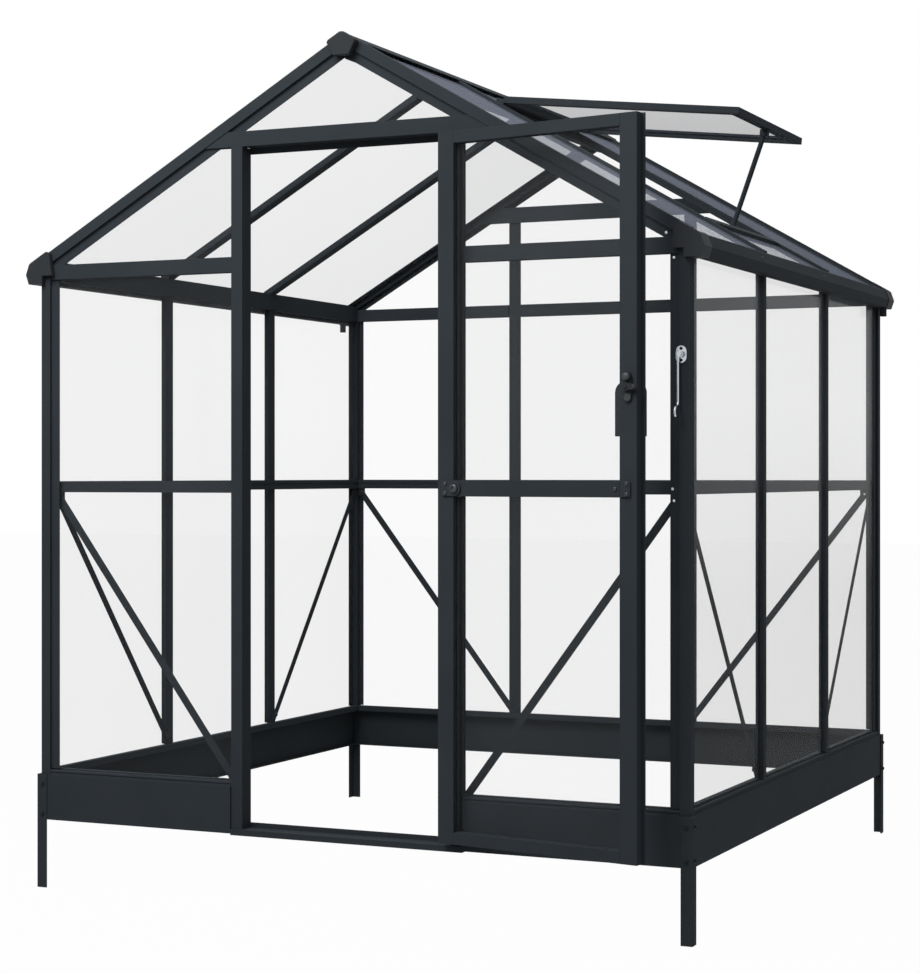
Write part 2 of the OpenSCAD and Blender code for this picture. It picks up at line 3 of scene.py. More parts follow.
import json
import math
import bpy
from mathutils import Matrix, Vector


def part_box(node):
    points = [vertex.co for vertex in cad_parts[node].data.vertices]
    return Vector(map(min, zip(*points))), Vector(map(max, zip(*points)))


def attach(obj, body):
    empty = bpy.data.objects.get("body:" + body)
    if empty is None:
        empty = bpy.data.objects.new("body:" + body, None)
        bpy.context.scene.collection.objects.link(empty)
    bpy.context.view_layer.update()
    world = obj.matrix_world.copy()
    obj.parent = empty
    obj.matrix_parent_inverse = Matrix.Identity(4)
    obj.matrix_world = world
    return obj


bl_info = {
    "name": "Glass greenhouse looks",
    "version": (1, 0, 0),
    "blender": (4, 5, 0),
    "location": "View3D > Sidebar > Greenhouse",
    "description": "Coats, glazes and fixes the greenhouse frame and sets up its studio",
    "category": "Object",
}

import bpy
from mathutils import Matrix, Vector

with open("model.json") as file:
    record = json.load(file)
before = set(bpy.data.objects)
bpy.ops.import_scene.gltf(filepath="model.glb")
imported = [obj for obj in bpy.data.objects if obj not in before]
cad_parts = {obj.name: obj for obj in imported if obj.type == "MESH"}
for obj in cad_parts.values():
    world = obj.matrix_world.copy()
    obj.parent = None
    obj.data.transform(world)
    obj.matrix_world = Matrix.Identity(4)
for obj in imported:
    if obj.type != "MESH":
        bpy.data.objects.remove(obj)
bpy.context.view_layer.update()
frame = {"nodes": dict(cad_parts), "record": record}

LOW, HIGH = (Vector(corner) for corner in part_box("corner_posts"))
WALL_X = HIGH.x
FRONT_Y = LOW.y
BACK_Y = HIGH.y
MID_Y = (FRONT_Y + BACK_Y) / 2
JOINTS = frame["record"]["behaviour"]["joints"]
HINGE = next(joint for joint in JOINTS if joint["name"] == "door_hinge")
HINGE_AT = Vector((HINGE["pos_m"][0], HINGE["pos_m"][1], 0))
DOOR_TURN = math.radians(180 + HINGE["range_deg"][0])
DOOR_ALONG = Vector((math.cos(DOOR_TURN), -math.sin(DOOR_TURN), 0))
DOOR_ACROSS = Vector((math.sin(DOOR_TURN), math.cos(DOOR_TURN), 0))
UP = Vector((0, 0, 1))

# Places on the door: along it from the hinge, across it from the hinge axis, and height
LATCH_U = 0.5465
LATCH_Z = 1.324
LATCH_FACE = -0.039
BUTTON_FACE = -0.043
LEVER_FACE = -0.049
LEVER_REACH = 0.023
KEY_DROP = 0.024
KEY_RADIUS, KEY_TALL = 0.009, 0.0008
BUTTON_RADIUS = 0.0095
LEVER_SCREW = 0.0085
DOOR_FACE = -0.034
DOOR_RAIL_Z = 1.085
PLATE_TALL = 0.038
PLATE_THICK = 0.0045
# Along the door, width and corner radius of each joint plate
PLATES = ((0.043, 0.054, 0.0185), (0.5405, 0.027, 0.004))
PLATE_SCREWS = ((0.025, 1.0965), (0.025, 1.0735), (0.5445, 1.0975), (0.5445, 1.0725))
RAIL_SCREW_U = 0.511
BOSS_U = 0.0525

# Places on the frame
STAKE_BOLT_Z = (0.202, 0.283)
STAKE_BOLT_INSET = 0.017
FLANGE_DEPTH = 0.0075
FRONT_BRIGHT = ((0.8815, 1.0565), (0.8815, 1.6365), (0.878, 1.0845), (0.862, 1.6965))
BACK_BRIGHT = ((0.882, 1.0575), (0.885, 1.652))
# Upper and lower end of a brace: distance from the middle of its wall, depth inwards, height
BRACE_HEAD = (0.882, 0.028, 1.0575)
BRACE_FOOT = (0.328, 0.025, 0.345)
FRONT_FOOT = 0.353
GUTTER_SCREW_OUT = 0.0337
GUTTER_SCREW_Z = 1.6725
GUTTER_SCREW_Y = (-0.452, 0.143)
GUTTER_SLOPE = math.atan2(0.012, 0.029)
HOOK_PLATE_THICK = 0.003
HOOK_SCREW_RISE = 0.014
HOOK_SCREW = 0.0075

COATED = (
    "leg_angles base_sides base_back base_front threshold corner_posts door_posts mullions mid_rails "
    "eave_rails headers eave_beams gutters gable_rafters inner_rafters ridge_beam braces vent_bars "
    "vent_frame vent_stay door_stiles door_rails"
).split()
WALL_PANES = "front_glass left_glass right_glass back_glass door_glass".split()
ROOF_PANES = "left_roof_glass right_roof_glass vent_glass".split()
MOULDED = "gutter_caps ridge_caps spouts door_pull latch_plate latch_lever".split()
POLISHED = "hook_plate door_hook".split()
HINGED = "hinge_pins door_knuckles".split()

# Small painted fittings: dark tone, light tone, roughness, gloss
PAINTS = {
    "hinge_paint": ((0.022, 0.024, 0.027), (0.03, 0.032, 0.035), 0.38, 0.05),
    "bolt_paint": ((0.02, 0.024, 0.028), (0.028, 0.033, 0.037), 0.5, 0.08),
    "brace_bolt_paint": ((0.02, 0.023, 0.027), (0.028, 0.032, 0.036), 0.4, 0.2),
    "screw_paint": ((0.02, 0.022, 0.025), (0.03, 0.033, 0.036), 0.36, 0.3),
    "plate_paint": ((0.024, 0.029, 0.034), (0.03, 0.036, 0.041), 0.5, 0.1),
    "plate_screw_paint": ((0.03, 0.033, 0.04), (0.04, 0.044, 0.05), 0.3, 0.5),
    "lever_screw_paint": ((0.022, 0.025, 0.028), (0.032, 0.036, 0.04), 0.4, 0.4),
    "hook_screw_paint": ((0.012, 0.013, 0.015), (0.02, 0.021, 0.023), 0.45, 0.05),
}
# Height in metres at which the painted reflection on the wall panes starts to lighten, and its rise for
# each metre
REFLECTION_RISE_START = 0.8
REFLECTION_RISE_STEEPNESS = 2.0
# Cover at a slant and at a graze (a painted sheen standing in for reflection), gloss and coat of the
# panes
WALL_GLASS = (0.284, 0.0, 0.05, 0.8)
ROOF_GLASS = (0.2, 0.55, 0.0)
CHROME = (0.54, 0.57, 0.61)
ZINC = (0.78, 0.79, 0.8)
LATCH_PLASTIC = (0.032, 0.036, 0.04)

# Live modifiers
WELD_DISTANCE = 0.00001
BEVEL_ANGLE = math.radians(40)
HANDLE_ROUND = 0.0025
SPOUT_ROUND = 0.0008
HINGE_ROUND = 0.0006
SMOOTH_ANGLE = math.radians(35)
PLATE_ROUND = 0.0008

# Studio
WHITE = (1, 1, 1, 1)
FLOOR_GREY = (0.38, 0.38, 0.38, 1)
FLOOR_WHITE = 0.98
FLOOR_SIZE = 60
FLOOR_DROP = 0.0005
LIGHTS_AIM = Vector((0, 0, 1.1))
KEY_AT, KEY_SIZE = (-0.7, -3.5, 4.2), 2.4
TOP_AT, TOP_SIZE = (0.5, 0.0, 6.0), 4.0
SENSOR_WIDTH = 36


class FinishSettings(bpy.types.PropertyGroup):
    """Colours and surface values of the finishes"""

    coat_colour: bpy.props.FloatVectorProperty(
        name="Coat colour", description="Powder coat of the frame", subtype="COLOR",
        default=(0.027, 0.0325, 0.038))
    coat_light: bpy.props.FloatVectorProperty(
        name="Coat drift", description="Lighter tone that drifts over the powder coat",
        subtype="COLOR", default=(0.035, 0.0415, 0.048))
    coat_rough: bpy.props.FloatProperty(
        name="Coat roughness", description="Roughness of the powder coat", subtype="FACTOR",
        default=0.75)
    plastic_colour: bpy.props.FloatVectorProperty(
        name="Plastic colour", description="Moulded caps and handle", subtype="COLOR",
        default=(0.027, 0.030, 0.034))
    glass_tint: bpy.props.FloatVectorProperty(
        name="Glass tint", description="Tone of a pane seen square on", subtype="COLOR",
        default=(0.17, 0.18, 0.19))
    # Painted reflection tones of the wall panes at a slant: lighter higher up, darker near the ground
    glass_high_reflection: bpy.props.FloatVectorProperty(
        name="Glass sheen", description="Tone of a pane's upper part seen at a slant",
        subtype="COLOR", default=(0.62, 0.64, 0.68))
    glass_low_reflection: bpy.props.FloatVectorProperty(
        name="Glass low tone", description="Tone of a pane near the ground seen at a slant",
        subtype="COLOR", default=(0.05, 0.05, 0.052))
    glass_body: bpy.props.FloatProperty(
        name="Glass body", description="How much a pane face covers when seen square on",
        subtype="FACTOR", default=0.023)
    roof_tint: bpy.props.FloatVectorProperty(
        name="Roof tint", description="Tone of the roof and vent panes", subtype="COLOR",
        default=(0.22, 0.24, 0.30))
    edge_round: bpy.props.FloatProperty(
        name="Edge round", description="Rounding of the coated edges", unit="LENGTH",
        default=0.0008)
    cap_round: bpy.props.FloatProperty(
        name="Cap round", description="Rounding of the moulded edges", unit="LENGTH", default=0.004)


class FixingSettings(bpy.types.PropertyGroup):
    """Sizes of the fixings"""

    bolt_across: bpy.props.FloatProperty(
        name="Bolt head", description="Width of a bolt head across its flats", unit="LENGTH",
        default=0.008)
    screw_across: bpy.props.FloatProperty(
        name="Screw head", description="Diameter of a screw head", unit="LENGTH", default=0.008)


class StageSettings(bpy.types.PropertyGroup):
    """Camera and light of the studio"""

    camera_at: bpy.props.FloatVectorProperty(
        name="Camera", description="Place of the camera", subtype="TRANSLATION", unit="LENGTH",
        default=(2.6252, -5.9027, 1.1197))
    camera_turn: bpy.props.FloatProperty(
        name="Camera turn", description="Heading of the camera", subtype="ANGLE", default=0.4279)
    camera_lens: bpy.props.FloatProperty(
        name="Lens", description="Focal length", subtype="DISTANCE_CAMERA", default=82.58)
    camera_shift: bpy.props.FloatProperty(
        name="Shift", description="Upward shift of the lens", default=-0.01256)
    key_power: bpy.props.FloatProperty(
        name="Key power", description="Power of the front light", unit="POWER", default=168)
    fill_power: bpy.props.FloatProperty(
        name="Top power", description="Power of the light overhead", unit="POWER", default=60)
    sky_level: bpy.props.FloatProperty(
        name="Sky level", description="Level of the light from all round", subtype="FACTOR",
        default=0.36)


class Wire:
    """An output socket, so that shader maths reads as Python."""

    def __init__(self, tree, socket=None):
        self.tree = tree
        self.socket = socket

    def node(self, kind, settings=None, inputs=None, out=0):
        """Adds a node, sets it up, feeds its sockets and wraps one of its outputs."""
        made = self.tree.nodes.new(kind)
        for name, value in (settings or {}).items():
            if name == "stops":
                elements = made.color_ramp.elements
                for element, stop in zip((elements[0], elements[1]), value):
                    element.position, element.color = stop
            else:
                setattr(made, name, value)
        for name, value in (inputs or {}).items():
            if isinstance(value, Wire):
                self.tree.links.new(value.socket, made.inputs[name])
            else:
                made.inputs[name].default_value = value
        return Wire(self.tree, made.outputs[out]) if made.outputs else None

    def maths(self, operation, first, second):
        return self.node("ShaderNodeMath", {"operation": operation}, {0: first, 1: second})

    def __add__(self, other):
        return self.maths("ADD", self, other)

    __radd__ = __add__

    def __sub__(self, other):
        return self.maths("SUBTRACT", self, other)

    def __rsub__(self, other):
        return self.maths("SUBTRACT", other, self)

    def __mul__(self, other):
        return self.maths("MULTIPLY", self, other)

    __rmul__ = __mul__

    def __pow__(self, other):
        return self.maths("POWER", self, other)

    def mix(self, dark, light):
        """Blends two colours by this value."""
        return self.node("ShaderNodeMix", {"data_type": "RGBA"}, {0: self, 6: dark, 7: light}, 2)

    def noise(self, place, scale, detail, rough):
        inputs = {"Vector": place, "Scale": scale, "Detail": detail, "Roughness": rough}
        return self.node("ShaderNodeTexNoise", {}, inputs)

    def bump(self, height, strength, distance):
        inputs = {"Height": height, "Strength": strength, "Distance": distance}
        return self.node("ShaderNodeBump", {}, inputs)


def new_finish(name):
    """An empty node material with a wire to build from."""
    made = bpy.data.materials.new(name)
    made.use_nodes = True
    made.node_tree.nodes.clear()
    return made, Wire(made.node_tree)


def close_finish(wire, sockets):
    """Ends a material in one surface shader."""
    surface = wire.node("ShaderNodeBsdfPrincipled", {}, sockets)
    wire.node("ShaderNodeOutputMaterial", {}, {"Surface": surface})


def rgba(colour):
    return (colour[0], colour[1], colour[2], 1.0)


def toned(colour, factor):
    return rgba([value * factor for value in colour])


def powder_coat(name, dark, light, rough, gloss=0.05):
    """Satin powder coat: fine orange peel, slow drift of tone and of gloss."""
    made, wire = new_finish(name)
    place = wire.node("ShaderNodeTexCoord", {}, {}, "Object")
    peel = wire.noise(place, 1100, 2.0, 0.55)
    drift = wire.noise(place, 2.6, 4.0, 0.6)
    haze_and_sheen = wire.noise(place, 23, 5.0, 0.65)
    stops = ((0.32, (0, 0, 0, 1)), (0.68, (1, 1, 1, 1)))
    tone = wire.node("ShaderNodeValToRGB", {"stops": stops}, {"Fac": drift})
    close_finish(wire, {
        "Base Color": (tone * 0.75 + haze_and_sheen * 0.25).mix(rgba(dark), rgba(light)),
        "Roughness": rough - 0.06 + haze_and_sheen * 0.1 + peel * 0.04,
        "Normal": wire.bump(peel, 0.25, 0.00012),
        "Specular IOR Level": gloss,
    })
    return made


def clear_glass(name, tint, low, sheen, body, haze_and_sheen, rim, gloss, coat=0.0):
    """Clear glazing that covers little square on, more at a slant and most at a graze, and is lighter
    at a slant: painted sheen that stands in for reflection.

    Its colour goes from low to sheen up the wall, a painted reflection that is darker near the ground
    and lighter higher up, and its coat grows with it. Its gloss has faint smears.
    """
    made, wire = new_finish(name)
    place = wire.node("ShaderNodeTexCoord", {}, {}, "Object")
    slant = wire.node("ShaderNodeLayerWeight", {}, {"Blend": 0.5}, "Facing")
    height = wire.node("ShaderNodeSeparateXYZ", {}, {"Vector": place}, "Z")
    settings = {"operation": "MULTIPLY", "use_clamp": True}
    # Painted reflection by height: darker near the ground, lighter higher up
    rise = wire.node("ShaderNodeMath", settings, {0: height - REFLECTION_RISE_START, 1: REFLECTION_RISE_STEEPNESS})
    height_reflection = rise.mix(rgba(low), rgba(sheen))
    smear = wire.noise(place, 5.5, 4.0, 0.6)
    wave = wire.noise(place, 3.2, 1.0, 0.4)
    sockets = {
        # Painted sheen: the pane is lighter and covers more at a slant and a graze; the smears vary it
        # at random
        "Base Color": ((slant ** 2) * 1.8 + smear * 0.06).mix(rgba(tint), height_reflection),
        "Roughness": 0.02 + smear * 0.05,
        "Alpha": body + (slant ** 3) * haze_and_sheen + (slant ** 12) * rim + smear * 0.006,
        "Normal": wire.bump(wave, 0.05, 0.002),
        "IOR": 1.52,
        "Specular IOR Level": gloss,
    }
    if coat:
        sockets["Coat Weight"] = rise * coat
    close_finish(wire, sockets)
    return made


def moulded_plastic(name, colour, rough=0.55, gloss=0.08):
    """Moulded plastic with a fine spark grain."""
    made, wire = new_finish(name)
    place = wire.node("ShaderNodeTexCoord", {}, {}, "Object")
    grain = wire.noise(place, 1500, 3.0, 0.6)
    cloud = wire.noise(place, 18, 4.0, 0.6)
    close_finish(wire, {
        "Base Color": cloud.mix(toned(colour, 0.88), toned(colour, 1.14)),
        "Roughness": rough + cloud * 0.12,
        "Normal": wire.bump(grain, 0.3, 0.00015),
        "Specular IOR Level": gloss,
    })
    return made


def bright_metal(name, colour, rough, cloud_scale):
    """Plated metal with soft clouds in its gloss and fine draw lines."""
    made, wire = new_finish(name)
    place = wire.node("ShaderNodeTexCoord", {}, {}, "Object")
    cloud = wire.noise(place, cloud_scale, 4.0, 0.6)
    drawn = wire.node("ShaderNodeMapping", {}, {"Vector": place, "Scale": (900, 900, 60)})
    lines = wire.noise(drawn, 1.0, 2.0, 0.5)
    close_finish(wire, {
        "Base Color": cloud.mix(toned(colour, 0.9), rgba(colour)),
        "Metallic": 1.0,
        "Roughness": rough + cloud * 0.1 + lines * 0.05,
        "Normal": wire.bump(lines, 0.08, 0.0001),
    })
    return made


def paint(name):
    return powder_coat(name, *PAINTS[name])


def give(finish, names):
    """Puts a finish on CAD nodes."""
    for name in names:
        data = frame["nodes"][name].data
        data.materials.clear()
        data.materials.append(finish)


def soften(names, width, segments=2):
    """Rounds the edges of CAD nodes with live modifiers, so their meshes stay as they are."""
    for name in names:
        node = frame["nodes"][name]
        weld = node.modifiers.new("Weld", "WELD")
        weld.merge_threshold = WELD_DISTANCE
        bevel = node.modifiers.new("Edge", "BEVEL")
        bevel.width = width
        bevel.segments = segments
        bevel.limit_method = "ANGLE"
        bevel.angle_limit = BEVEL_ANGLE
        bevel.harden_normals = False


def deselect():
    if bpy.context.object and bpy.context.object.mode != "OBJECT":
        bpy.ops.object.mode_set(mode="OBJECT")
    bpy.ops.object.select_all(action="DESELECT")


def pick_faces(piece, test):
    """Goes into edit mode with only the faces that pass the test selected."""
    bpy.ops.object.mode_set(mode="EDIT")
    bpy.ops.mesh.select_mode(type="FACE")
    bpy.ops.mesh.select_all(action="DESELECT")
    bpy.ops.object.mode_set(mode="OBJECT")
    for face in piece.data.polygons:
        face.select = test(face)
    bpy.ops.object.mode_set(mode="EDIT")


def rim_of_top(piece, bevel, segments):
    """Bevels the rim of the top face and leaves edit mode."""
    pick_faces(piece, lambda face: face.normal.z > 0.9)
    bpy.ops.mesh.region_to_loop()
    bpy.ops.mesh.bevel(offset=bevel, segments=segments, affect="EDGES")
    bpy.ops.object.mode_set(mode="OBJECT")


def hex_bolt(across):
    """A hexagon bolt head on its washer, standing on the origin and pointing up."""
    deselect()
    bpy.ops.mesh.primitive_cylinder_add(vertices=24, radius=across * 0.95, depth=across * 0.14,
                                        location=(0, 0, across * 0.07))
    piece = bpy.context.object
    rim_of_top(piece, across * 0.05, 2)
    pick_faces(piece, lambda face: face.normal.z > 0.9)
    bpy.ops.mesh.inset(thickness=across * 0.3)
    bpy.ops.mesh.extrude_region_move(TRANSFORM_OT_translate={"value": (0, 0, across * 0.02)})
    bpy.ops.object.mode_set(mode="OBJECT")
    washer = piece
    deselect()
    bpy.ops.mesh.primitive_cylinder_add(vertices=6, radius=across / math.sqrt(3), depth=across * 0.6,
                                        location=(0, 0, across * 0.44))
    piece = bpy.context.object
    rim_of_top(piece, across * 0.07, 2)
    pick_faces(piece, lambda face: face.normal.z > 0.9)
    bpy.ops.mesh.inset(thickness=across * 0.12)
    bpy.ops.mesh.extrude_region_move(TRANSFORM_OT_translate={"value": (0, 0, -across * 0.04)})
    bpy.ops.object.mode_set(mode="OBJECT")
    washer.select_set(True)
    bpy.ops.object.join()
    bpy.ops.object.transform_apply(location=True, rotation=True, scale=True)
    return piece


def pan_screw(across):
    """A domed screw head with a round drive recess, standing on the origin and pointing up."""
    deselect()
    bpy.ops.mesh.primitive_cylinder_add(vertices=24, radius=across / 2, depth=across * 0.34,
                                        location=(0, 0, across * 0.17))
    piece = bpy.context.object
    rim_of_top(piece, across * 0.2, 4)
    pick_faces(piece, lambda face: face.normal.z > 0.95)
    bpy.ops.mesh.inset(thickness=across * 0.1)
    bpy.ops.mesh.extrude_region_move(TRANSFORM_OT_translate={"value": (0, 0, -across * 0.16)})
    bpy.ops.object.mode_set(mode="OBJECT")
    bpy.ops.object.transform_apply(location=True, rotation=True, scale=True)
    bpy.ops.object.shade_smooth_by_angle(angle=SMOOTH_ANGLE)
    return piece


def key_barrel(radius, tall):
    """A low ring with the flat key bar standing in its recess, on the origin and pointing up."""
    deselect()
    bpy.ops.mesh.primitive_cylinder_add(vertices=32, radius=radius, depth=tall,
                                        location=(0, 0, tall / 2))
    piece = bpy.context.object
    rim_of_top(piece, tall * 0.3, 2)
    pick_faces(piece, lambda face: face.normal.z > 0.95)
    bpy.ops.mesh.inset(thickness=radius * 0.2)
    bpy.ops.mesh.extrude_region_move(TRANSFORM_OT_translate={"value": (0, 0, -tall * 0.75)})
    bpy.ops.mesh.inset(thickness=radius * 0.28)
    bpy.ops.transform.resize(value=(0.34, 1.0, 1), center_override=(0, 0, 0))
    bpy.ops.mesh.extrude_region_move(TRANSFORM_OT_translate={"value": (0, 0, tall * 0.65)})
    bpy.ops.object.mode_set(mode="OBJECT")
    bpy.ops.object.transform_apply(location=True, rotation=True, scale=True)
    bpy.ops.object.shade_smooth_by_angle(angle=SMOOTH_ANGLE)
    return piece


def domed_button(radius):
    """A low domed button on a short collar, on the origin and pointing up."""
    deselect()
    bpy.ops.mesh.primitive_cylinder_add(vertices=32, radius=radius, depth=radius * 0.3,
                                        location=(0, 0, radius * 0.15))
    piece = bpy.context.object
    for lift, shrink in ((0.16, 0.93), (0.13, 0.84), (0.09, 0.66), (0.04, 0.4)):
        pick_faces(piece, lambda face: face.normal.z > 0.99)
        bpy.ops.mesh.extrude_region_move(TRANSFORM_OT_translate={"value": (0, 0, radius * lift)})
        bpy.ops.transform.resize(value=(shrink, shrink, 1), center_override=(0, 0, 0))
        bpy.ops.object.mode_set(mode="OBJECT")
    bpy.ops.object.transform_apply(location=True, rotation=True, scale=True)
    bpy.ops.object.shade_smooth_by_angle(angle=SMOOTH_ANGLE)
    return piece


def rounded_plate(wide, tall, thick, corner):
    """A flat plate on the origin, its thickness along Z, with the two corners towards +X rounded."""
    deselect()
    bpy.ops.mesh.primitive_cube_add(size=1, location=(0, 0, thick / 2), scale=(wide, tall, thick))
    bpy.ops.object.transform_apply(location=True, rotation=True, scale=True)
    piece = bpy.context.object
    bpy.ops.object.mode_set(mode="EDIT")
    bpy.ops.mesh.select_mode(type="EDGE")
    bpy.ops.mesh.select_all(action="DESELECT")
    bpy.ops.object.mode_set(mode="OBJECT")
    points = piece.data.vertices
    for edge in piece.data.edges:
        first, second = (points[index].co for index in edge.vertices)
        edge.select = first.x > 0 and second.x > 0 and abs(first.z - second.z) > thick / 2
    bpy.ops.object.mode_set(mode="EDIT")
    bpy.ops.mesh.bevel(offset=corner, segments=8, affect="EDGES")
    bpy.ops.object.mode_set(mode="OBJECT")
    rim_of_top(piece, PLATE_ROUND, 2)
    return piece


def spread(pattern, name, places, finish, body):
    """Copies a fixing to its places, each a point and an outward direction, and joins the copies."""
    copies = []
    for point, outward in places:
        copy = bpy.data.objects.new(name, pattern.data.copy())
        turn = Vector(outward).to_track_quat("Z", "Y").to_matrix().to_4x4()
        copy.data.transform(Matrix.Translation(Vector(point)) @ turn)
        bpy.context.collection.objects.link(copy)
        copies.append(copy)
    bpy.data.objects.remove(pattern)
    deselect()
    for copy in copies:
        copy.select_set(True)
    bpy.context.view_layer.objects.active = copies[0]
    if len(copies) > 1:
        bpy.ops.object.join()
    piece = bpy.context.object
    piece.name = name
    piece.data.materials.clear()
    piece.data.materials.append(finish)
    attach(piece, body)
    return piece


def on_gable(side, x, depth, z):
    """A point of the front (side -1) or back (side 1) wall, with depth measured inwards."""
    y = FRONT_Y + depth if side < 0 else BACK_Y - depth
    return Vector((x, y, z))


def on_side(side, y, depth, z):
    """A point of the left (side -1) or right (side 1) wall, y measured from the middle of the wall."""
    return Vector((side * (WALL_X - depth), MID_Y + y, z))


def on_door(along, across, z):
    """A point of the open door, in the door's own directions."""
    return HINGE_AT + DOOR_ALONG * along + DOOR_ACROSS * across + UP * z


class GREENHOUSE_OT_coat_frame(bpy.types.Operator):
    """Powder coats the frame, the base, the door frame and the vent frame"""

    bl_idname = "greenhouse.coat_frame"
    bl_label = "Coat the frame"

    def execute(self, context):
        look = context.scene.greenhouse_finish
        coat = powder_coat("anthracite_powder_coat", look.coat_colour, look.coat_light, look.coat_rough)
        give(coat, COATED)
        soften(COATED, look.edge_round)
        return {"FINISHED"}


class GREENHOUSE_OT_glaze(bpy.types.Operator):
    """Glazes the walls, the roof, the vent and the door"""

    bl_idname = "greenhouse.glaze"
    bl_label = "Glaze"

    def execute(self, context):
        look = context.scene.greenhouse_finish
        body = look.glass_body
        tones = (look.glass_tint, look.glass_low_reflection, look.glass_high_reflection)
        give(clear_glass("wall_glass", *tones, body, *WALL_GLASS), WALL_PANES)
        # Roof panes: a little darker square on than at a slant, and covering more at a slant and a
        # graze, a painted sheen
        tones = (toned(look.roof_tint, 0.92), look.roof_tint, look.roof_tint)
        give(clear_glass("roof_glass", *tones, body, *ROOF_GLASS), ROOF_PANES)
        return {"FINISHED"}


class GREENHOUSE_OT_finish_fittings(bpy.types.Operator):
    """Finishes the moulded caps, spouts and handle, the hinges and the chromed hook"""

    bl_idname = "greenhouse.finish_fittings"
    bl_label = "Finish the fittings"

    def execute(self, context):
        look = context.scene.greenhouse_finish
        give(moulded_plastic("black_moulded_plastic", look.plastic_colour), MOULDED)
        soften(("gutter_caps", "ridge_caps"), look.cap_round, 6)
        soften(("door_pull", "latch_plate", "latch_lever"), HANDLE_ROUND, 3)
        soften(("spouts",), SPOUT_ROUND)
        give(bright_metal("polished_chrome", CHROME, 0.08, 30), POLISHED)
        give(paint("hinge_paint"), HINGED)
        soften(HINGED, HINGE_ROUND)
        return {"FINISHED"}


class GREENHOUSE_OT_add_leg_bolts(bpy.types.Operator):
    """Bolts the ground stakes to the base, two bolts in each face"""

    bl_idname = "greenhouse.add_leg_bolts"
    bl_label = "Add the leg bolts"

    def execute(self, context):
        low, high = (Vector(corner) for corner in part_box("leg_angles"))
        inset = STAKE_BOLT_INSET
        places = []
        for z in STAKE_BOLT_Z:
            for x, nx in ((low.x, -1), (high.x, 1)):
                for y, ny in ((low.y, -1), (high.y, 1)):
                    places.append(((x, y - ny * inset, z), (nx, 0, 0)))
                    places.append(((x - nx * inset, y, z), (0, ny, 0)))
        bolt = hex_bolt(context.scene.greenhouse_fixing.bolt_across)
        spread(bolt, "leg_bolts", places, paint("bolt_paint"), "frame")
        return {"FINISHED"}


class GREENHOUSE_OT_add_frame_bolts(bpy.types.Operator):
    """Bolts of the braces, rails and posts: dark heads, and bright ones at the right-hand corners"""

    bl_idname = "greenhouse.add_frame_bolts"
    bl_label = "Add the frame bolts"

    def execute(self, context):
        across = context.scene.greenhouse_fixing.bolt_across
        head_along, head_depth, head_z = BRACE_HEAD
        foot_along, foot_depth, foot_z = BRACE_FOOT
        bright = [(on_gable(-1, x, FLANGE_DEPTH, z), (0, -1, 0)) for x, z in FRONT_BRIGHT]
        bright += [(on_gable(1, x, head_depth, z), (0, -1, 0)) for x, z in BACK_BRIGHT]
        dark = []
        for side in (-1, 1):
            for wall in (-1, 1):
                inward = (0, -wall, 0)
                foot = FRONT_FOOT if wall < 0 else foot_along
                dark.append((on_gable(wall, side * foot, foot_depth, foot_z), inward))
                if (wall, side) != (1, 1):
                    dark.append((on_gable(wall, side * head_along, head_depth, head_z), inward))
                dark += [(on_side(side, wall * along, depth, z), (-side, 0, 0))
                         for along, depth, z in (BRACE_HEAD, BRACE_FOOT)]
        zinc = bright_metal("bright_zinc", ZINC, 0.22, 60)
        spread(hex_bolt(across * 0.4), "bright_bolts", bright, zinc, "frame")
        spread(hex_bolt(across), "brace_bolts", dark, paint("brace_bolt_paint"), "frame")
        return {"FINISHED"}


class GREENHOUSE_OT_add_gutter_screws(bpy.types.Operator):
    """Screws in the faces of the gutters"""

    bl_idname = "greenhouse.add_gutter_screws"
    bl_label = "Add the gutter screws"

    def execute(self, context):
        places = []
        for side in (-1, 1):
            outward = (side * math.cos(GUTTER_SLOPE), 0, math.sin(GUTTER_SLOPE))
            for y in GUTTER_SCREW_Y:
                point = (side * (WALL_X + GUTTER_SCREW_OUT), MID_Y + y, GUTTER_SCREW_Z)
                places.append((point, outward))
        screw = pan_screw(context.scene.greenhouse_fixing.screw_across)
        spread(screw, "gutter_screws", places, paint("screw_paint"), "frame")
        return {"FINISHED"}


class GREENHOUSE_OT_add_door_plates(bpy.types.Operator):
    """Joint plates at the ends of the door's middle rail, with their screws"""

    bl_idname = "greenhouse.add_door_plates"
    bl_label = "Add the door plates"

    def execute(self, context):
        finish = paint("plate_paint")
        out = -DOOR_ACROSS
        axes = Matrix((DOOR_ALONG, UP, out)).transposed().to_4x4()
        plates = []
        for along, wide, corner in PLATES:
            plate = rounded_plate(wide, PLATE_TALL, PLATE_THICK, corner)
            plate.data.transform(Matrix.Translation(on_door(along, DOOR_FACE, DOOR_RAIL_Z)) @ axes)
            plates.append(plate)
        deselect()
        for plate in plates:
            plate.select_set(True)
        bpy.context.view_layer.objects.active = plates[0]
        bpy.ops.object.join()
        piece = bpy.context.object
        piece.name = "door_plates"
        piece.data.materials.append(finish)
        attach(piece, "door")
        small = context.scene.greenhouse_fixing.screw_across
        shine = paint("plate_screw_paint")
        top = DOOR_FACE - PLATE_THICK
        places = [(on_door(along, top, z), out) for along, z in PLATE_SCREWS]
        places.append((on_door(RAIL_SCREW_U, DOOR_FACE, DOOR_RAIL_Z), out))
        spread(pan_screw(small * 1.25), "door_plate_screws", places, shine, "door")
        places = [(on_door(BOSS_U, top, DOOR_RAIL_Z), out)]
        spread(pan_screw(small * 2.7), "door_plate_boss", places, shine, "door")
        return {"FINISHED"}


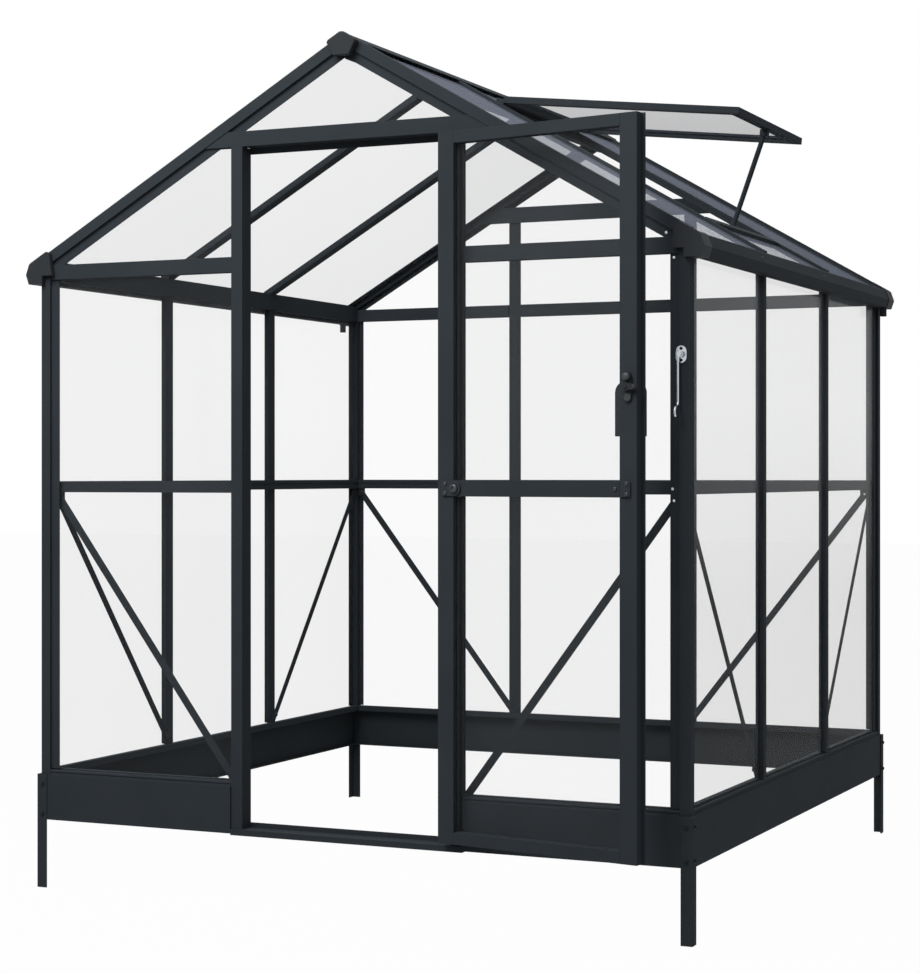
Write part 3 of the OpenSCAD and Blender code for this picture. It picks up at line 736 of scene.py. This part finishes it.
class GREENHOUSE_OT_add_latch_details(bpy.types.Operator):
    """Key barrel and domed button on the latch plate, and the screw in the end of the lever"""

    bl_idname = "greenhouse.add_latch_details"
    bl_label = "Add the latch details"

    def execute(self, context):
        finish = moulded_plastic("latch_plastic", LATCH_PLASTIC, 0.4, 0.4)
        out = -DOOR_ACROSS
        places = [(on_door(LATCH_U, LATCH_FACE, LATCH_Z - KEY_DROP), out)]
        spread(key_barrel(KEY_RADIUS, KEY_TALL), "key_barrel", places, finish, "door")
        places = [(on_door(LATCH_U, BUTTON_FACE, LATCH_Z + KEY_DROP), out)]
        spread(domed_button(BUTTON_RADIUS), "latch_button", places, finish, "door")
        places = [(on_door(LATCH_U + LEVER_REACH, LEVER_FACE, LATCH_Z), out)]
        finish = paint("lever_screw_paint")
        spread(pan_screw(LEVER_SCREW), "lever_screw", places, finish, "latch")
        return {"FINISHED"}


class GREENHOUSE_OT_add_hook_screws(bpy.types.Operator):
    """Two screws that hold the plate of the door hook"""

    bl_idname = "greenhouse.add_hook_screws"
    bl_label = "Add the hook screws"

    def execute(self, context):
        low, high = (Vector(corner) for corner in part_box("hook_plate"))
        middle = (low + high) / 2
        places = [((middle.x, FRONT_Y - HOOK_PLATE_THICK, middle.z + rise), (0, -1, 0))
                  for rise in (-HOOK_SCREW_RISE, HOOK_SCREW_RISE)]
        finish = paint("hook_screw_paint")
        spread(pan_screw(HOOK_SCREW), "hook_screws", places, finish, "frame")
        return {"FINISHED"}


def seen_rays(wire):
    """One for camera, glossy and transmission rays, nought for the light that falls on the object."""
    camera = wire.node("ShaderNodeLightPath", {}, {}, "Is Camera Ray")
    rays = camera.socket.node.outputs
    others = [Wire(wire.tree, rays[name]) for name in ("Is Glossy Ray", "Is Transmission Ray")]
    return camera + others[0] + others[1]


def lay_floor():
    deselect()
    bpy.ops.mesh.primitive_plane_add(size=FLOOR_SIZE, location=(0, 0, -FLOOR_DROP))
    floor = bpy.context.object
    floor.name = "floor"
    bpy.ops.object.transform_apply(location=True)
    finish, wire = new_finish("pale_floor")
    matt = wire.node("ShaderNodeBsdfDiffuse", {}, {"Color": FLOOR_GREY})
    white = wire.node("ShaderNodeEmission", {}, {"Color": WHITE, "Strength": 1.0})
    both = wire.node("ShaderNodeMixShader", {}, {0: seen_rays(wire) * FLOOR_WHITE, 1: matt, 2: white})
    wire.node("ShaderNodeOutputMaterial", {}, {"Surface": both})
    floor.data.materials.append(finish)


def light_world(scene, level):
    world = bpy.data.worlds.new("studio")
    scene.world = world
    world.use_nodes = True
    world.node_tree.nodes.clear()
    wire = Wire(world.node_tree)
    strength = level + seen_rays(wire) * (1 - level)
    sky = wire.node("ShaderNodeBackground", {}, {"Color": WHITE, "Strength": strength})
    wire.node("ShaderNodeOutputWorld", {}, {"Surface": sky})


def hang_light(name, at, power, size):
    deselect()
    bpy.ops.object.light_add(type="AREA", location=at)
    lamp = bpy.context.object
    lamp.name = name
    lamp.rotation_euler = (LIGHTS_AIM - Vector(at)).to_track_quat("-Z", "Y").to_euler()
    lamp.data.energy = power
    lamp.data.size = size


class GREENHOUSE_OT_set_stage(bpy.types.Operator):
    """Floor, soft light and the camera"""

    bl_idname = "greenhouse.set_stage"
    bl_label = "Set the stage"

    def execute(self, context):
        stage = context.scene.greenhouse_stage
        lay_floor()
        light_world(context.scene, stage.sky_level)
        hang_light("key_light", KEY_AT, stage.key_power, KEY_SIZE)
        hang_light("top_light", TOP_AT, stage.fill_power, TOP_SIZE)
        deselect()
        level = (math.pi / 2, 0, stage.camera_turn)
        bpy.ops.object.camera_add(location=stage.camera_at, rotation=level)
        camera = bpy.context.object
        camera.data.sensor_width = SENSOR_WIDTH
        camera.data.lens = stage.camera_lens
        camera.data.shift_y = stage.camera_shift
        context.scene.camera = camera
        context.scene.view_settings.view_transform = "Standard"
        return {"FINISHED"}


class GREENHOUSE_PT_panel(bpy.types.Panel):
    """Lists the steps and the settings"""

    bl_idname = "GREENHOUSE_PT_panel"
    bl_label = "Greenhouse"
    bl_space_type = "VIEW_3D"
    bl_region_type = "UI"
    bl_category = "Greenhouse"

    def draw(self, context):
        for step in STEPS:
            self.layout.operator(step.bl_idname)
        scene = context.scene
        for settings in (scene.greenhouse_finish, scene.greenhouse_fixing, scene.greenhouse_stage):
            box = self.layout.box()
            for name in settings.__annotations__:
                box.prop(settings, name)


STEPS = (
    GREENHOUSE_OT_coat_frame,
    GREENHOUSE_OT_glaze,
    GREENHOUSE_OT_finish_fittings,
    GREENHOUSE_OT_add_leg_bolts,
    GREENHOUSE_OT_add_frame_bolts,
    GREENHOUSE_OT_add_gutter_screws,
    GREENHOUSE_OT_add_door_plates,
    GREENHOUSE_OT_add_latch_details,
    GREENHOUSE_OT_add_hook_screws,
    GREENHOUSE_OT_set_stage,
)
CLASSES = (FinishSettings, FixingSettings, StageSettings) + STEPS + (GREENHOUSE_PT_panel,)


def register():
    for cls in CLASSES:
        bpy.utils.register_class(cls)
    bpy.types.Scene.greenhouse_finish = bpy.props.PointerProperty(type=FinishSettings)
    bpy.types.Scene.greenhouse_fixing = bpy.props.PointerProperty(type=FixingSettings)
    bpy.types.Scene.greenhouse_stage = bpy.props.PointerProperty(type=StageSettings)


def unregister():
    del bpy.types.Scene.greenhouse_stage
    del bpy.types.Scene.greenhouse_fixing
    del bpy.types.Scene.greenhouse_finish
    for cls in reversed(CLASSES):
        bpy.utils.unregister_class(cls)


def main():
    register()
    for step in STEPS:
        group, name = step.bl_idname.split(".")
        getattr(getattr(bpy.ops, group), name)()


if __name__ == "__main__":
    main()
